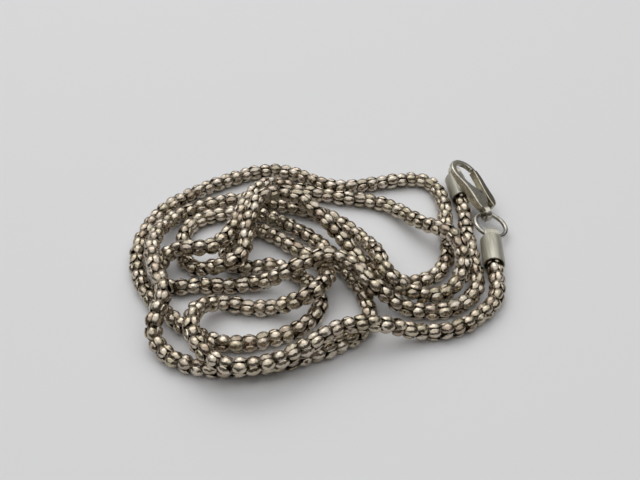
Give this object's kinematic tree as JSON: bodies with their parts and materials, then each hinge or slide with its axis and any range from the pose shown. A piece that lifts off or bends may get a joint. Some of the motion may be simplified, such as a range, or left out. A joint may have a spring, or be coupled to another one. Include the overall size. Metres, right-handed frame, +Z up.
{
  "type": "popcorn chain necklace",
  "caption": "Fastened popcorn chain necklace lying in a loose heap, with tubular end caps, a jump ring and a lobster clasp.",
  "frame": {"origin": "centre of the heap's footprint, on the surface that it lies on", "axes": "+Z up, +Y away from the picture's camera, +X to the right with the clasp on the right"},
  "size_m": [0.0643, 0.0519, 0.0084],
  "materials": {
    "chain_metal": "antique nickel plate, bright domes",
    "cap_metal": "satin nickel plate",
    "wire_metal": "bright nickel wire",
    "clasp_metal": "bright nickel plate"
  },
  "bodies": {
    "necklace": {"chain": "chain_metal", "end_cap_clasp_side": "cap_metal", "end_cap_ring_side": "cap_metal", "jump_ring": "wire_metal", "clasp_body": "clasp_metal", "clasp_pivot_pin": "wire_metal"},
    "lever": {"clasp_lever": "clasp_metal"}
  },
  "joints": [
    {"name": "lever_hinge", "type": "hinge", "parent": "necklace", "child": "lever", "pos_m": [0.0279, 0.01495, 0.00331], "axis": [0.4287, -0.1272, 0.8944], "range_deg": [0, 25], "stiffness_Nm_per_rad": 0.002}
  ]
}
